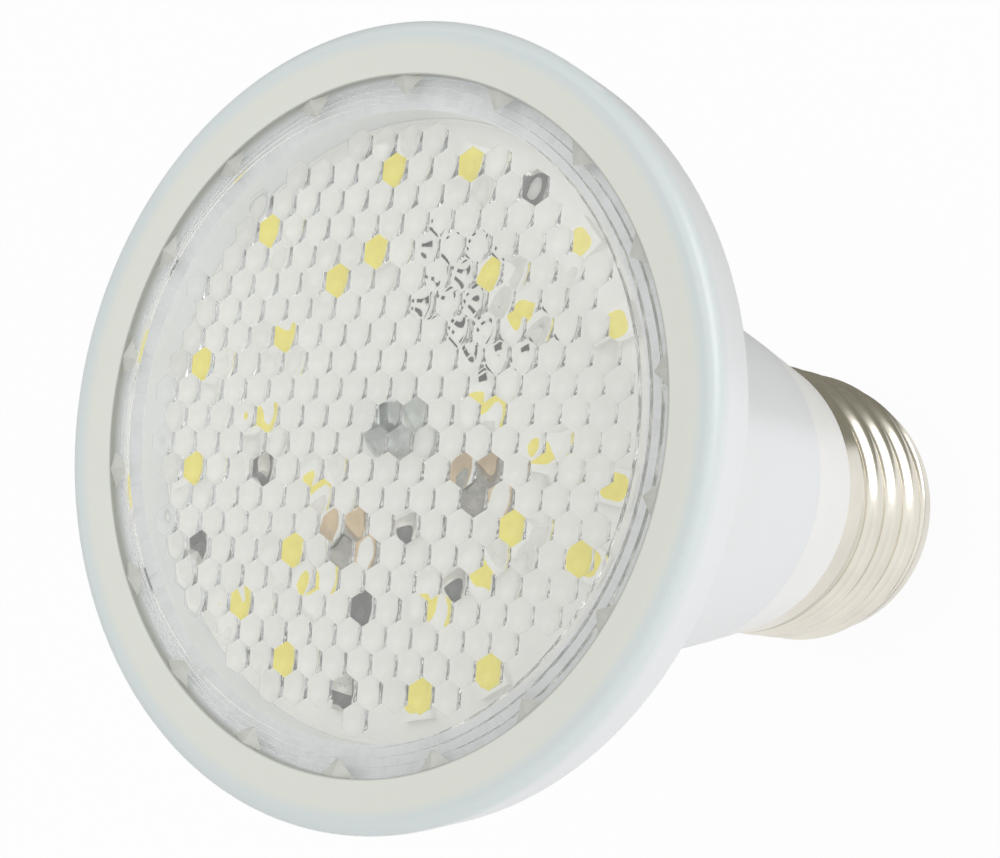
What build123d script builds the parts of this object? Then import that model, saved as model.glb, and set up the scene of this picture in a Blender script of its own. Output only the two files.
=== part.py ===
from build123d import *
import os
from math import cos, hypot, radians, sin, sqrt

# Grow light bulb: a reflector lamp with a honeycomb lens, a white cup and a screw base.
# Millimetres. The origin is the tip of the centre contact, and +Z runs up the lamp axis to the lens.

# Centre contact and insulator
CONTACT_FACE_RADIUS = 2.4
CONTACT_RADIUS = 4.8
CONTACT_HEIGHT = 1.3
CONTACT_STEM_RADIUS = 1.5
CONTACT_STEM_LENGTH = 4.2
INSULATOR_CONE_HEIGHT = 5.3
INSULATOR_WALL = 2.4
INSULATOR_FLANGE_HEIGHT = 1.2

# Screw shell with its rounded knuckle thread
SHELL_HEIGHT = 19.6
SHELL_WALL = 0.35
SHELL_LIP_WIDTH = 1.6
SHELL_SHOULDER_HEIGHT = 1.8
THREAD_MAJOR_RADIUS = 13.05
THREAD_DEPTH = 0.85
THREAD_PITCH = 3.629
THREAD_ROOT_LAND = 0.7
THREAD_FOOT_STEP = 0.04
THREAD_START_RISE = 0.25
THREAD_START_ANGLE = 180.0
THREAD_LOW_RUNOUT = 4.0
THREAD_HIGH_RUNOUT = 1.2
THREAD_BURY = 0.2
SKIRT_STEP = 0.07
SKIRT_HEIGHT = 3.7

# Plastic sleeve that carries the shell, the driver and the cup
COLLAR_LIP = 0.18
COLLAR_HEIGHT = 8.8
SPIGOT_GAP = 1.4
SPIGOT_WALL = 1.4
SLEEVE_RADIUS = 13.2
SLEEVE_WALL = 1.3
SLEEVE_ROOF = 1.8
RAIL_LENGTH = 24.0
RAIL_WIDTH = 1.0
RAIL_OVERLAP = 1.0
BOSS_RADIUS = 3.2
BOSS_LENGTH = 9.0

# Cup with neck, flare and rim
NECK_LENGTH = 7.0
NECK_WALL = 1.6
NECK_SPREAD = 1.3
CUP_HEIGHT = 45.5
FLARE_TOP_RADIUS = 26.4
RIM_RADIUS = 32.1
RIM_BACK_RADIUS = 31.3
RIM_BACK_RISE = 1.4
RIM_DEPTH = 6.0
RIM_UNDERCUT = 2.5
RIM_BACK_ROUND = 1.4
RIM_FRONT_ROUND = 0.9
RIM_DISH = 0.45
FLARE_CORNER_ROUND = 2.0
LEDGE_WIDTH = 1.85
LEDGE_THICKNESS = 2.0

# Board with its LEDs and chips
BOARD_RADIUS = 24.85
BOARD_THICKNESS = 1.2
LED_LENGTH = 3.5
LED_WIDTH = 2.8
LED_HEIGHT = 0.7
LED_WINDOW_LENGTH = 2.4
LED_WINDOW_WIDTH = 2.1
LED_WINDOW_DEPTH = 0.35
LED_WINDOW_ROUND = 0.7
LED_EDGE_INSET = 3.45
LED_MIDDLE_RADIUS = 14.5
LED_INNER_RADIUS = 8.6
LED_OUTER_ANGLES = (13, 33, 67, 88, 124, 158, 182, 215, 234, 272, 291, 324, 340)
LED_MIDDLE_ANGLES = (28, 45, 95, 115, 143, 170, 217, 232, 280, 303, 319, 344)
LED_INNER_ANGLES = (5, 202)
CHIP_LENGTH = 2.0
CHIP_WIDTH = 1.25
CHIP_HEIGHT = 0.6
CHIP_EDGE_INSET = 3.0
CHIP_OUTER_ANGLES = (52, 197, 252)
CHIP_MIDDLE_ANGLES = (184, 254, 292)
CHIP_INNER_ANGLES = (276,)
JOINT_ONE_INSET = 2.75
JOINT_ONE_ANGLE = -38
JOINT_TWO_INSET = 1.5
JOINT_TWO_ANGLE = 235
JOINT_RADIUS = 1.7
JOINT_HEIGHT = 1.1
LEAD_RADIUS = 0.5
LEAD_HOLE_RADIUS = 0.9
LEAD_BEND = 2.2
LEAD_PAD_DROP = 8.0
LEAD_TIP_RISE = 0.5

# Screw that clamps board, cup and sleeve together
SCREW_RADIUS = 1.45
SCREW_LENGTH = 7.0
SCREW_HEAD_RADIUS = 2.4
SCREW_HEAD_HEIGHT = 1.9
SCREW_HEAD_ROUND = 0.8
SCREW_SLOT_LENGTH = 3.2
SCREW_SLOT_WIDTH = 0.7
SCREW_SLOT_DEPTH = 0.9

# Clear lens
LENS_SEAT_WIDTH = 2.6
LENS_RECESS = 1.0
LENS_EDGE_THICKNESS = 1.2
LENS_THICKNESS = 2.6
LENS_GAP = 2.5
LENS_BORDER = 2.1
LENS_STEPS = 3
TOOTH_COUNT = 18
TOOTH_ROOT_WIDTH = 3.2
TOOTH_TIP_WIDTH = 0.9
TOOTH_BURY = 0.3
CELL_PITCH = 2.5
CELL_DEPTH = 0.5
CELL_SLOPE_WIDTH = 0.75
CELL_MARGIN = 0.7
CELL_ROW_TURN = -8.0
CELL_FOOT = 0.05
CELL_ROOT = 0.5

# Driver parts
DRIVER_WIDTH = 20.4
DRIVER_LENGTH = 31.0
DRIVER_THICKNESS = 1.6
CAN_RADIUS = 3.15
CAN_HEIGHT = 8.5
CAN_ROUND = 0.5
CAN_INSET = 3.85
CHOKE_FLANGE_RADIUS = 3.5
CHOKE_CORE_RADIUS = 2.4
CHOKE_HEIGHT = 7.0
CHOKE_FLANGE = 1.2
CHOKE_GAP = 2.35
FILM_LENGTH = 9.0
FILM_WIDTH = 4.5
FILM_HEIGHT = 7.5
FILM_ROUND = 0.5
FILM_GAP = 1.75
BRIDGE_LENGTH = 4.7
BRIDGE_WIDTH = 3.9
BRIDGE_HEIGHT = 2.5
BRIDGE_FROM_TOP = 22.0
FUSE_RADIUS = 1.3
FUSE_LENGTH = 7.0
FUSE_DROP = 7.0
SHELL_LEAD_OFFSET = 6.0

# Clearances between mating pieces
SHELL_FIT = 0.1
SLEEVE_FIT = 0.3
BOARD_FIT = 0.15
LENS_FIT = 0.2
TOOTH_FIT = 0.1
SCREW_FIT = 0.05
SCREW_HOLE_FIT = 0.25
LEAD_FIT = 0.05
RAIL_FIT = 0.1
INSULATOR_FIT = 0.05

# Heights above the tip, from the pieces that stand on one another
SHELL_BOTTOM = CONTACT_HEIGHT + INSULATOR_CONE_HEIGHT
SHELL_TOP = SHELL_BOTTOM + SHELL_HEIGHT
COLLAR_TOP = SHELL_TOP + COLLAR_HEIGHT
NECK_TOP = COLLAR_TOP + NECK_LENGTH
RIM_CREST = COLLAR_TOP + CUP_HEIGHT
RIM_BACK = RIM_CREST - RIM_DEPTH
FLARE_TOP = RIM_BACK - RIM_UNDERCUT
DISH_EDGE = RIM_CREST - RIM_DISH
LENS_EDGE_TOP = DISH_EDGE - LENS_RECESS
LENS_UNDERSIDE = LENS_EDGE_TOP - LENS_EDGE_THICKNESS
LENS_PLATEAU = LENS_UNDERSIDE + LENS_THICKNESS
LENS_STEP_RISE = (LENS_PLATEAU - LENS_EDGE_TOP) / LENS_STEPS
TOOTH_BOTTOM = LENS_EDGE_TOP + LENS_STEP_RISE
BOARD_TOP = LENS_UNDERSIDE - LENS_GAP - LED_HEIGHT
BOARD_UNDERSIDE = BOARD_TOP - BOARD_THICKNESS
SLEEVE_INSIDE_TOP = BOARD_UNDERSIDE - SLEEVE_ROOF
BOSS_BOTTOM = SLEEVE_INSIDE_TOP - BOSS_LENGTH
DRIVER_TOP = BOSS_BOTTOM
DRIVER_BOTTOM = DRIVER_TOP - DRIVER_LENGTH
FUSE_TOP = DRIVER_BOTTOM - FUSE_DROP
FUSE_BOTTOM = FUSE_TOP - FUSE_LENGTH
STEM_TOP = CONTACT_HEIGHT + CONTACT_STEM_LENGTH
SHOULDER_TOP = SHELL_BOTTOM + SHELL_SHOULDER_HEIGHT
INSULATOR_TOP = SHOULDER_TOP + INSULATOR_FLANGE_HEIGHT
SPIGOT_BOTTOM = INSULATOR_TOP + SPIGOT_GAP

# Radii of the shell, from its thread of two equal arcs, hill and valley
THREAD_HALF_PITCH = THREAD_PITCH / 2
THREAD_MINOR_RADIUS = THREAD_MAJOR_RADIUS - THREAD_DEPTH
THREAD_CURVE = (THREAD_DEPTH**2 + THREAD_HALF_PITCH**2) / (4 * THREAD_DEPTH)
THREAD_FOOT = THREAD_HALF_PITCH - THREAD_ROOT_LAND / 2
THREAD_FOOT_RISE = THREAD_CURVE - sqrt(THREAD_CURVE**2 - (THREAD_ROOT_LAND / 2) ** 2)
SHELL_CORE = THREAD_MINOR_RADIUS + THREAD_FOOT_RISE - THREAD_FOOT_STEP
SHELL_BORE = SHELL_CORE - SHELL_WALL
SHELL_LIP_RADIUS = SHELL_CORE - SHELL_LIP_WIDTH
SKIRT_RADIUS = THREAD_MAJOR_RADIUS + SKIRT_STEP

# Radii of the sleeve, the cup, the board and the lens, each from the one that it fits
SPIGOT_RADIUS = SHELL_BORE - SHELL_FIT
SLEEVE_BORE = SLEEVE_RADIUS - SLEEVE_WALL
NECK_BORE = SLEEVE_RADIUS + SLEEVE_FIT
COLLAR_LOW_RADIUS = SKIRT_RADIUS + COLLAR_LIP
COLLAR_TOP_RADIUS = NECK_BORE + NECK_WALL
NECK_TOP_RADIUS = COLLAR_TOP_RADIUS + NECK_SPREAD
LEDGE_RADIUS = BOARD_RADIUS - LEDGE_WIDTH
BOARD_BORE = BOARD_RADIUS + BOARD_FIT
LENS_SEAT_RADIUS = BOARD_BORE + LENS_SEAT_WIDTH
LENS_RADIUS = LENS_SEAT_RADIUS - LENS_FIT
LENS_PLATEAU_RADIUS = LENS_RADIUS - LENS_BORDER
LENS_STEP_WIDTH = LENS_BORDER / LENS_STEPS
TOOTH_ROOT_RADIUS = LENS_SEAT_RADIUS + TOOTH_BURY
TOOTH_TIP_RADIUS = LENS_RADIUS - 2 * LENS_STEP_WIDTH + TOOTH_FIT
CELL_FIELD_RADIUS = LENS_PLATEAU_RADIUS - CELL_MARGIN
CELL_CORNER = CELL_PITCH / sqrt(3)
CELL_CREST_CORNER = CELL_CORNER - CELL_SLOPE_WIDTH

# Places on the board and on the driver board
LED_RINGS = (
    (BOARD_RADIUS - LED_EDGE_INSET, LED_OUTER_ANGLES),
    (LED_MIDDLE_RADIUS, LED_MIDDLE_ANGLES),
    (LED_INNER_RADIUS, LED_INNER_ANGLES),
)
CHIP_RINGS = (
    (BOARD_RADIUS - CHIP_EDGE_INSET, CHIP_OUTER_ANGLES),
    (LED_MIDDLE_RADIUS, CHIP_MIDDLE_ANGLES),
    (LED_INNER_RADIUS, CHIP_INNER_ANGLES),
)
JOINT_SPOTS = (
    (SLEEVE_BORE - JOINT_ONE_INSET, JOINT_ONE_ANGLE),
    (SLEEVE_BORE - JOINT_TWO_INSET, JOINT_TWO_ANGLE),
)
CAN_FROM_TOP = CAN_INSET + CAN_RADIUS
CHOKE_FROM_TOP = CAN_FROM_TOP + CAN_RADIUS + CHOKE_GAP + CHOKE_FLANGE_RADIUS
FILM_FROM_TOP = CHOKE_FROM_TOP + CHOKE_FLANGE_RADIUS + FILM_GAP + FILM_WIDTH / 2


def spot(radius, angle, height):
    """Point at a polar place around the lamp axis."""
    return (radius * cos(radians(angle)), radius * sin(radians(angle)), height)


def turned(*edges):
    """Body of revolution about the lamp axis, from edges drawn as (radius, height)."""
    return revolve(Plane.XZ * make_face(edges), Axis.Z)


def turned_outline(*points):
    """Body of revolution with straight sides."""
    return turned(Polyline(*points, close=True))


def rod(radius, low, high):
    """Round bar on the lamp axis between two heights."""
    return Pos(0, 0, low) * Cylinder(radius, high - low, align=(Align.CENTER, Align.CENTER, Align.MIN))


def wire(points, bend):
    """Round lead along a bent route."""
    route = FilletPolyline(*points, radius=bend)
    start = Plane(route @ 0, z_dir=route % 0)
    return sweep(start * Circle(LEAD_RADIUS), path=route)


def standing_box(length, width, height, round_radius=0):
    """Box on its foot, with its upright edges rounded if asked."""
    box = Box(length, width, height, align=(Align.CENTER, Align.CENTER, Align.MIN))
    if round_radius:
        box = fillet(box.edges().filter_by(Axis.Z), round_radius)
    return box


# Base


def make_centre_contact():
    """Button with a hollow stem that takes the end of the lead."""
    body = turned_outline(
        (0, 0),
        (CONTACT_FACE_RADIUS, 0),
        (CONTACT_RADIUS, CONTACT_HEIGHT),
        (CONTACT_STEM_RADIUS, CONTACT_HEIGHT),
        (CONTACT_STEM_RADIUS, STEM_TOP),
        (0, STEM_TOP),
    )
    return body - rod(LEAD_RADIUS + LEAD_FIT, CONTACT_HEIGHT, STEM_TOP)


def make_base_insulator():
    """Conical ring between contact and shell, with a flange behind the shell's lip."""
    lip = SHELL_LIP_RADIUS - INSULATOR_FIT
    stem_hole = CONTACT_STEM_RADIUS + INSULATOR_FIT
    return turned_outline(
        (stem_hole, CONTACT_HEIGHT),
        (CONTACT_RADIUS, CONTACT_HEIGHT),
        (lip, SHELL_BOTTOM),
        (lip, SHOULDER_TOP),
        (SPIGOT_RADIUS, SHOULDER_TOP),
        (SPIGOT_RADIUS, INSULATOR_TOP),
        (lip - INSULATOR_WALL, INSULATOR_TOP),
        (lip - INSULATOR_WALL, SHELL_BOTTOM),
        (stem_hole, CONTACT_HEIGHT + INSULATOR_WALL),
    )


def thread_radius(offset):
    """Radius of the rounded thread at an axial offset from its crest."""
    along = abs(offset)
    if along < THREAD_HALF_PITCH / 2:
        return THREAD_MAJOR_RADIUS - THREAD_CURVE + sqrt(THREAD_CURVE**2 - along**2)
    return THREAD_MINOR_RADIUS + THREAD_CURVE - sqrt(THREAD_CURVE**2 - (THREAD_HALF_PITCH - along) ** 2)


def make_thread():
    """One rounded ridge wound up the shell, trimmed so that it fades into the shell at both ends."""
    start = SHELL_BOTTOM + THREAD_START_RISE
    bend = THREAD_HALF_PITCH / 2
    between = (THREAD_FOOT + bend) / 2
    buried = SHELL_CORE - THREAD_BURY

    def on_curve(offset):
        return (thread_radius(offset), start + offset)

    section = make_face(
        [
            ThreePointArc(on_curve(-THREAD_FOOT), on_curve(-between), on_curve(-bend)),
            ThreePointArc(on_curve(-bend), on_curve(0), on_curve(bend)),
            ThreePointArc(on_curve(bend), on_curve(between), on_curve(THREAD_FOOT)),
            Polyline(
                on_curve(THREAD_FOOT),
                (buried, start + THREAD_FOOT),
                (buried, start - THREAD_FOOT),
                on_curve(-THREAD_FOOT),
            ),
        ]
    )
    path = Helix(THREAD_PITCH, SHELL_TOP - start, THREAD_MAJOR_RADIUS, center=(0, 0, start))
    ridge = sweep(Plane.XZ * section, path=path, is_frenet=True)
    skirt_bottom = SHELL_TOP - SKIRT_HEIGHT
    inside = buried - THREAD_BURY
    outside = THREAD_MAJOR_RADIUS + THREAD_DEPTH
    between_ends = turned_outline(
        (0, SHOULDER_TOP),
        (inside, SHOULDER_TOP),
        (outside, SHOULDER_TOP + THREAD_LOW_RUNOUT),
        (outside, skirt_bottom - THREAD_HIGH_RUNOUT),
        (inside, skirt_bottom),
        (0, skirt_bottom),
    )
    return Rot(0, 0, THREAD_START_ANGLE) * ridge & between_ends


def make_screw_shell():
    """Metal shell: turned-in lip, rounded shoulder, thread and plain skirt."""
    skirt_bottom = SHELL_TOP - SKIRT_HEIGHT
    lip_inside = SHELL_BOTTOM + SHELL_WALL
    body = turned(
        TangentArc((SHELL_CORE, SHOULDER_TOP), (SHELL_LIP_RADIUS, SHELL_BOTTOM), tangent=(0, -1)),
        Polyline(
            (SHELL_CORE, SHOULDER_TOP),
            (SHELL_CORE, skirt_bottom),
            (SKIRT_RADIUS, skirt_bottom + SKIRT_RADIUS - SHELL_CORE),
            (SKIRT_RADIUS, SHELL_TOP),
            (SHELL_BORE, SHELL_TOP),
            (SHELL_BORE, SHOULDER_TOP),
        ),
        TangentArc((SHELL_BORE, SHOULDER_TOP), (SHELL_LIP_RADIUS, lip_inside), tangent=(0, -1)),
        Line((SHELL_LIP_RADIUS, lip_inside), (SHELL_LIP_RADIUS, SHELL_BOTTOM)),
    )
    return body + make_thread()


# Sleeve and cup


def joint_places(height):
    """Centres of the two soldered leads at a given height."""
    return [spot(radius, angle, height) for radius, angle in JOINT_SPOTS]


def make_driver_sleeve():
    """Spigot for the shell, visible collar, tube for the driver and roof with the screw boss."""
    spigot_bore = SPIGOT_RADIUS - SPIGOT_WALL
    body = turned_outline(
        (spigot_bore, SPIGOT_BOTTOM),
        (SPIGOT_RADIUS, SPIGOT_BOTTOM),
        (SPIGOT_RADIUS, SHELL_TOP),
        (COLLAR_LOW_RADIUS, SHELL_TOP),
        (COLLAR_TOP_RADIUS, COLLAR_TOP),
        (SLEEVE_RADIUS, COLLAR_TOP),
        (SLEEVE_RADIUS, BOARD_UNDERSIDE),
        (0, BOARD_UNDERSIDE),
        (0, SLEEVE_INSIDE_TOP),
        (SLEEVE_BORE, SLEEVE_INSIDE_TOP),
        (SLEEVE_BORE, COLLAR_TOP),
        (spigot_bore, SHELL_TOP),
    )
    body += rod(BOSS_RADIUS, BOSS_BOTTOM, SLEEVE_INSIDE_TOP)
    body += make_rails()
    body -= rod(SCREW_RADIUS + SCREW_FIT, BOSS_BOTTOM, BOARD_UNDERSIDE)
    for place in joint_places(SLEEVE_INSIDE_TOP):
        body -= Pos(place) * rod(LEAD_HOLE_RADIUS, 0, SLEEVE_ROOF)
    return body


def make_rails():
    """Four upright rails in the tube, a slot on each side for the driver board."""
    inner = DRIVER_WIDTH / 2 - RAIL_OVERLAP
    outer = SLEEVE_BORE + SLEEVE_WALL / 2
    gap = DRIVER_THICKNESS / 2 + RAIL_FIT
    rail = Box(outer - inner, RAIL_WIDTH, RAIL_LENGTH, align=(Align.MIN, Align.MIN, Align.MAX))
    rails = Pos(inner, gap, DRIVER_TOP) * rail
    rails += mirror(rails, Plane.XZ)
    return rails + mirror(rails, Plane.YZ)


def make_teeth():
    """Flat wedges around the seat that hold the lens down by the second step of its edge."""
    wedge = Polyline(
        (TOOTH_ROOT_RADIUS, TOOTH_ROOT_WIDTH / 2),
        (TOOTH_TIP_RADIUS, TOOTH_TIP_WIDTH / 2),
        (TOOTH_TIP_RADIUS, -TOOTH_TIP_WIDTH / 2),
        (TOOTH_ROOT_RADIUS, -TOOTH_ROOT_WIDTH / 2),
        close=True,
    )
    first = Pos(0, 0, TOOTH_BOTTOM) * extrude(make_face(wedge), DISH_EDGE - TOOTH_BOTTOM)
    step = 360 / TOOTH_COUNT
    return [Rot(0, 0, step * index) * first for index in range(TOOTH_COUNT)]


def make_housing():
    """Cup: neck cone, flare, rounded rim, dished front face, lens seat with teeth, and board ledge."""
    ledge_bottom = BOARD_UNDERSIDE - LEDGE_THICKNESS
    neck_rise = (NECK_TOP_RADIUS - COLLAR_TOP_RADIUS, NECK_LENGTH)
    rim = FilletPolyline(
        (FLARE_TOP_RADIUS, FLARE_TOP),
        (FLARE_TOP_RADIUS + RIM_BACK_RISE, FLARE_TOP + RIM_BACK_RISE),
        (RIM_BACK_RADIUS, RIM_BACK),
        (RIM_RADIUS, RIM_CREST),
        (LENS_SEAT_RADIUS, DISH_EDGE),
        radius=(FLARE_CORNER_ROUND, RIM_BACK_ROUND, RIM_FRONT_ROUND),
    )
    body = turned(
        Line((COLLAR_TOP_RADIUS, COLLAR_TOP), (NECK_TOP_RADIUS, NECK_TOP)),
        TangentArc((NECK_TOP_RADIUS, NECK_TOP), (FLARE_TOP_RADIUS, FLARE_TOP), tangent=neck_rise),
        rim,
        Polyline(
            (LENS_SEAT_RADIUS, DISH_EDGE),
            (LENS_SEAT_RADIUS, LENS_UNDERSIDE),
            (BOARD_BORE, LENS_UNDERSIDE),
            (BOARD_BORE, BOARD_UNDERSIDE),
            (LEDGE_RADIUS, BOARD_UNDERSIDE),
            (LEDGE_RADIUS, ledge_bottom),
        ),
        TangentArc((NECK_BORE, NECK_TOP), (LEDGE_RADIUS, ledge_bottom), tangent=(0, 1)),
        Polyline((NECK_BORE, NECK_TOP), (NECK_BORE, COLLAR_TOP), (COLLAR_TOP_RADIUS, COLLAR_TOP)),
    )
    return body + make_teeth()


# Lens


def in_field(x, y):
    """True where a whole cell fits inside the round honeycomb field."""
    return hypot(x, y) <= CELL_FIELD_RADIUS - CELL_CORNER


def hexagon(corner, height):
    """Corners of an upright hexagon on the lamp axis, the first one again at the end."""
    return [spot(corner, 60 * side - 30, height) for side in range(7)]


def cell_faces():
    """Foot with crest, six sloping facets and six side walls of one cell that stands on the lens at height 0."""
    low = hexagon(CELL_CORNER, -CELL_ROOT)
    high = hexagon(CELL_CORNER, CELL_FOOT)
    top = hexagon(CELL_CREST_CORNER, CELL_DEPTH)
    ends = [Face(Wire.make_polygon(low[:6])), Face(Wire.make_polygon(top[:6]))]
    facets = []
    walls = []
    for side in range(6):
        facets.append(Face(Wire.make_polygon([high[side], high[side + 1], top[side + 1], top[side]])))
        walls.append(Face(Wire.make_polygon([low[side], low[side + 1], high[side + 1], high[side]])))
    return ends, facets, walls


def make_cells():
    """Honeycomb under the lens: three cells meet on the axis, and side walls stand only where the field ends."""
    ends, facets, walls = cell_faces()
    row_gap = CELL_PITCH * sqrt(3) / 2
    count = int(CELL_FIELD_RADIUS / row_gap) + 1
    faces = []
    for row in range(-count, count + 1):
        for column in range(-count, count + 1):
            x = CELL_PITCH * (column + (row % 2) / 2)
            y = row_gap * row + CELL_CORNER
            if not in_field(x, y):
                continue
            place = Pos(x, y, 0)
            faces += [place * face for face in ends + facets]
            for side, wall in enumerate(walls):
                next_x, next_y, _ = spot(CELL_PITCH, 60 * side, 0)
                if not in_field(x + next_x, y + next_y):
                    faces.append(place * wall)
    return Pos(0, 0, LENS_UNDERSIDE) * Rot(0, 0, CELL_ROW_TURN) * Rot(180, 0, 0) * Solid(Shell(faces))


def make_lens():
    """Clear plate with a smooth face, a stepped edge and the honeycomb on its underside."""
    outline = [(0, LENS_PLATEAU), (0, LENS_UNDERSIDE), (LENS_RADIUS, LENS_UNDERSIDE)]
    for index in range(LENS_STEPS):
        level = LENS_EDGE_TOP + LENS_STEP_RISE * index
        outline.append((LENS_RADIUS - LENS_STEP_WIDTH * index, level))
        outline.append((LENS_RADIUS - LENS_STEP_WIDTH * (index + 1), level))
    outline.append((LENS_PLATEAU_RADIUS, LENS_PLATEAU))
    return turned_outline(*outline) + make_cells()


# Board


def ring_places(rings, height):
    """Places on rings around the axis, each turned so that its length points outward."""
    places = []
    for radius, angles in rings:
        for angle in angles:
            places.append(Rot(0, 0, angle) * Pos(radius, 0, height))
    return places


def make_led_board():
    """Round board with a screw hole and two lead holes."""
    board = rod(BOARD_RADIUS, BOARD_UNDERSIDE, BOARD_TOP)
    board -= rod(SCREW_RADIUS + SCREW_HOLE_FIT, BOARD_UNDERSIDE, BOARD_TOP)
    for place in joint_places(BOARD_UNDERSIDE):
        board -= Pos(place) * rod(LEAD_RADIUS + LEAD_FIT, 0, BOARD_THICKNESS)
    return board


def led_window():
    """Rounded window in the top of an LED, which its phosphor fills."""
    window = standing_box(LED_WINDOW_LENGTH, LED_WINDOW_WIDTH, LED_WINDOW_DEPTH, LED_WINDOW_ROUND)
    return Pos(0, 0, LED_HEIGHT - LED_WINDOW_DEPTH) * window


def make_led_packages():
    """White bodies of all LEDs."""
    package = standing_box(LED_LENGTH, LED_WIDTH, LED_HEIGHT) - led_window()
    return Compound([place * package for place in ring_places(LED_RINGS, BOARD_TOP)])


def make_led_phosphors():
    """Yellow fill of all LEDs."""
    return Compound([place * led_window() for place in ring_places(LED_RINGS, BOARD_TOP)])


def make_chip_resistors():
    """Small dark chips between the LEDs."""
    chip = standing_box(CHIP_LENGTH, CHIP_WIDTH, CHIP_HEIGHT)
    return Compound([place * chip for place in ring_places(CHIP_RINGS, BOARD_TOP)])


def make_solder_joints():
    """Two domes of solder around the ends of the leads."""
    top = LEAD_RADIUS + LEAD_FIT
    dome = turned(
        Line((top, 0), (JOINT_RADIUS, 0)),
        TangentArc((JOINT_RADIUS, 0), (top, JOINT_HEIGHT), tangent=(0, 1)),
        Line((top, JOINT_HEIGHT), (top, 0)),
    )
    return Compound([Pos(place) * dome for place in joint_places(BOARD_TOP)])


def make_board_screw():
    """Pan-head screw with a cross slot, from the board into the boss of the sleeve."""
    head = rod(SCREW_HEAD_RADIUS, BOARD_TOP, BOARD_TOP + SCREW_HEAD_HEIGHT)
    head = fillet(head.edges().sort_by(Axis.Z)[-1], SCREW_HEAD_ROUND)
    slot = standing_box(SCREW_SLOT_LENGTH, SCREW_SLOT_WIDTH, SCREW_SLOT_DEPTH)
    slot_floor = BOARD_TOP + SCREW_HEAD_HEIGHT - SCREW_SLOT_DEPTH
    cross = Pos(0, 0, slot_floor) * (slot + Rot(0, 0, 90) * slot)
    shank = rod(SCREW_RADIUS, BOARD_UNDERSIDE - SCREW_LENGTH, BOARD_TOP)
    return head + shank - cross


# Driver


def on_driver(shape, from_top, side):
    """Stand a part on one face of the driver board, at a distance below its upper edge."""
    place = (0, side * DRIVER_THICKNESS / 2, DRIVER_TOP - from_top)
    return Plane(place, x_dir=(1, 0, 0), z_dir=(0, side, 0)) * shape


def make_driver_board():
    """Board that stands in the rails of the sleeve."""
    return Pos(0, 0, DRIVER_BOTTOM) * standing_box(DRIVER_WIDTH, DRIVER_THICKNESS, DRIVER_LENGTH)


def make_smoothing_capacitor():
    """Electrolytic can with a rounded top edge."""
    can = rod(CAN_RADIUS, 0, CAN_HEIGHT)
    can = fillet(can.edges().sort_by(Axis.Z)[-1], CAN_ROUND)
    return on_driver(can, CAN_FROM_TOP, 1)


def make_choke():
    """Drum core with its winding between two flanges."""
    drum = turned_outline(
        (0, 0),
        (CHOKE_FLANGE_RADIUS, 0),
        (CHOKE_FLANGE_RADIUS, CHOKE_FLANGE),
        (CHOKE_CORE_RADIUS, CHOKE_FLANGE),
        (CHOKE_CORE_RADIUS, CHOKE_HEIGHT - CHOKE_FLANGE),
        (CHOKE_FLANGE_RADIUS, CHOKE_HEIGHT - CHOKE_FLANGE),
        (CHOKE_FLANGE_RADIUS, CHOKE_HEIGHT),
        (0, CHOKE_HEIGHT),
    )
    return on_driver(drum, CHOKE_FROM_TOP, 1)


def make_input_capacitor():
    """Boxed film capacitor."""
    return on_driver(standing_box(FILM_LENGTH, FILM_WIDTH, FILM_HEIGHT, FILM_ROUND), FILM_FROM_TOP, 1)


def make_rectifier():
    """Bridge rectifier chip on the other face."""
    return on_driver(standing_box(BRIDGE_LENGTH, BRIDGE_WIDTH, BRIDGE_HEIGHT), BRIDGE_FROM_TOP, -1)


def make_fusible_resistor():
    """Round resistor in line with the lead to the contact."""
    return rod(FUSE_RADIUS, FUSE_BOTTOM, FUSE_TOP)


def make_contact_leads():
    """Straight leads above and below the resistor."""
    upper = rod(LEAD_RADIUS, FUSE_TOP, DRIVER_BOTTOM)
    lower = rod(LEAD_RADIUS, CONTACT_HEIGHT, FUSE_BOTTOM)
    return Compound([upper, lower])


def make_shell_lead():
    """Lead from the driver board round the foot of the spigot to the shell."""
    height = (INSULATOR_TOP + SPIGOT_BOTTOM) / 2
    turn = (SHELL_LEAD_OFFSET, 0, height)
    return wire([(SHELL_LEAD_OFFSET, 0, DRIVER_BOTTOM), turn, (SPIGOT_RADIUS, 0, height)], LEAD_BEND)


def make_board_leads():
    """Two leads from the driver board up through the roof to the soldered joints."""
    face = -DRIVER_THICKNESS / 2
    pad = DRIVER_TOP - LEAD_PAD_DROP
    tip = BOARD_TOP + JOINT_HEIGHT + LEAD_TIP_RISE
    leads = []
    for x, y, _ in joint_places(tip):
        leads.append(wire([(x, face, pad), (x, y, pad), (x, y, tip)], LEAD_BEND))
    return Compound(leads)


NODES = {
    "centre_contact": make_centre_contact,
    "base_insulator": make_base_insulator,
    "screw_shell": make_screw_shell,
    "driver_sleeve": make_driver_sleeve,
    "housing": make_housing,
    "lens": make_lens,
    "led_board": make_led_board,
    "led_packages": make_led_packages,
    "led_phosphors": make_led_phosphors,
    "chip_resistors": make_chip_resistors,
    "solder_joints": make_solder_joints,
    "board_screw": make_board_screw,
    "driver_board": make_driver_board,
    "smoothing_capacitor": make_smoothing_capacitor,
    "choke": make_choke,
    "input_capacitor": make_input_capacitor,
    "rectifier": make_rectifier,
    "fusible_resistor": make_fusible_resistor,
    "contact_leads": make_contact_leads,
    "shell_lead": make_shell_lead,
    "board_leads": make_board_leads,
}

os.makedirs("parts", exist_ok=True)
for name, make in NODES.items():
    export_step(make(), f"parts/{name}.step")
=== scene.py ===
"""Looks of a grow light bulb: a white cup with a honeycomb lens over a board of LEDs, on a screw base."""

from math import ceil, cos, pi, radians, sin, sqrt

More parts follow.
